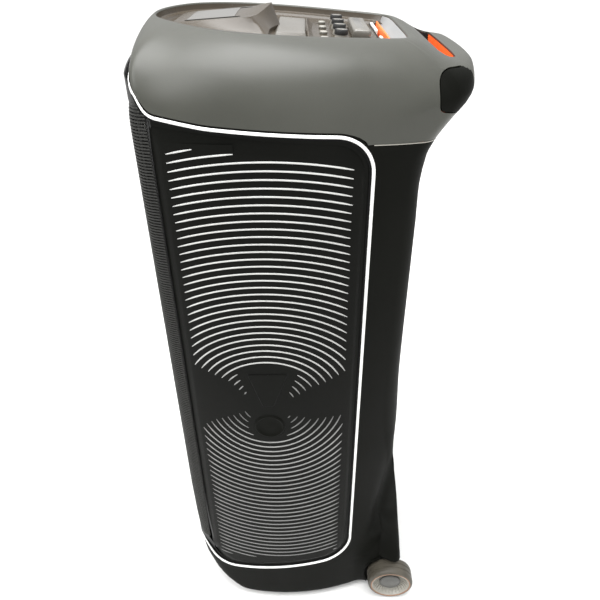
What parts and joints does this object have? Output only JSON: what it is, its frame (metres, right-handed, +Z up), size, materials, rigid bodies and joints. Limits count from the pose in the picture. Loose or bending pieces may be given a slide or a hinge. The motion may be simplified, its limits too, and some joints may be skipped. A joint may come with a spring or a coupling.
{
  "type": "wheeled tower party speaker",
  "caption": "Tall wheeled party speaker: bowed cabinet with ridged sides, wrapped front grille, rolled hood with sloping control deck, rear grip handle and transport wheels.",
  "frame": {"origin": "on the floor under the middle of the bounding box", "axes": "+Z up, the grille faces -Y, the handle and wheels are on the +Y side, +X is the right-hand side panel"},
  "size_m": [0.4434, 0.4382, 1.054],
  "materials": {
    "shell": "fine textured",
    "hood": "fine textured",
    "panel": "satin textured",
    "trim": "satin silver white",
    "grille": "powder coated",
    "black": "plain",
    "deck": "satin",
    "orange": "plain",
    "display": "polished",
    "keys": "satin",
    "pale": "satin",
    "rubber": "plain",
    "tyre": "worn grey",
    "hub": "satin",
    "steel": "zinc plated",
    "aluminium": "black anodised",
    "board": "fibreboard",
    "cone": "pulp cone",
    "frame_metal": "black enamel",
    "light": "diffusing",
    "circuit": "circuit board"
  },
  "bodies": {
    "cabinet": {"cabinet_shell": "shell", "base_moulding": "shell", "hood_shell": "hood", "trim_loop": "trim", "front_grille": "grille", "grille_frame": "black", "front_baffle": "board", "side_panel_right": "panel", "side_panel_left": "panel", "panel_surround": "panel", "emblem_right": "panel", "emblem_left": "panel", "grip_cover_right": "shell", "grip_cover_left": "shell", "grip_liner": "orange", "deck_tray": "deck", "console": "deck", "display_window": "display", "pad_plate": "deck", "pad_fin": "deck", "control_block": "deck", "cradle_pad": "pale", "cradle_strip": "orange", "woofer_baskets": "frame_metal", "woofer_cones": "cone", "woofer_surrounds": "rubber", "woofer_magnets": "steel", "mid_drivers": "frame_metal", "tweeter_horns": "black", "light_rings": "light", "input_plate": "black", "jack_sockets": "steel", "mains_inlet": "black", "inlet_pins": "steel", "heat_sink": "aluminium", "port_tube": "black", "amp_board": "circuit", "amp_parts": "black", "power_supply": "steel", "brace_frame": "board", "axle_stubs": "steel", "feet": "rubber", "plate_screws": "steel", "driver_screws": "steel"},
    "wheel_right": {"tyre_right": "tyre", "hub_right": "hub", "hub_cap_right": "hub"},
    "wheel_left": {"tyre_left": "tyre", "hub_left": "hub", "hub_cap_left": "hub"},
    "dial_1": {"knob_1": "black"},
    "button_1": {"key_1": "keys"},
    "dial_2": {"knob_2": "black"},
    "button_2": {"key_2": "keys"},
    "dial_3": {"knob_3": "black"},
    "button_3": {"key_3": "keys"},
    "dial_4": {"knob_4": "black"},
    "button_4": {"key_4": "keys"}
  },
  "joints": [
    {"name": "wheel_right_spin", "type": "hinge", "parent": "cabinet", "child": "wheel_right", "pos_m": [0.19, 0.172, 0.0445], "axis": [1, 0, 0], "continuous": true},
    {"name": "wheel_left_spin", "type": "hinge", "parent": "cabinet", "child": "wheel_left", "pos_m": [-0.19, 0.172, 0.0445], "axis": [1, 0, 0], "continuous": true},
    {"name": "dial_1_turn", "type": "hinge", "parent": "cabinet", "child": "dial_1", "pos_m": [-0.066, 0.05553, 1.03013], "axis": [0, 0.0958, 0.9954], "range_deg": [-150, 150]},
    {"name": "button_1_press", "type": "slide", "parent": "cabinet", "child": "button_1", "axis": [0, -0.0958, -0.9954], "range_m": [0, 0.0011], "stiffness_N_per_m": 400, "springref_m": -0.0006},
    {"name": "dial_2_turn", "type": "hinge", "parent": "cabinet", "child": "dial_2", "pos_m": [-0.022, 0.05553, 1.03013], "axis": [0, 0.0958, 0.9954], "range_deg": [-150, 150]},
    {"name": "button_2_press", "type": "slide", "parent": "cabinet", "child": "button_2", "axis": [0, -0.0958, -0.9954], "range_m": [0, 0.0011], "stiffness_N_per_m": 400, "springref_m": -0.0006},
    {"name": "dial_3_turn", "type": "hinge", "parent": "cabinet", "child": "dial_3", "pos_m": [0.022, 0.05553, 1.03013], "axis": [0, 0.0958, 0.9954], "range_deg": [-150, 150]},
    {"name": "button_3_press", "type": "slide", "parent": "cabinet", "child": "button_3", "axis": [0, -0.0958, -0.9954], "range_m": [0, 0.0011], "stiffness_N_per_m": 400, "springref_m": -0.0006},
    {"name": "dial_4_turn", "type": "hinge", "parent": "cabinet", "child": "dial_4", "pos_m": [0.066, 0.05553, 1.03013], "axis": [0, 0.0958, 0.9954], "range_deg": [-150, 150]},
    {"name": "button_4_press", "type": "slide", "parent": "cabinet", "child": "button_4", "axis": [0, -0.0958, -0.9954], "range_m": [0, 0.0011], "stiffness_N_per_m": 400, "springref_m": -0.0006}
  ]
}
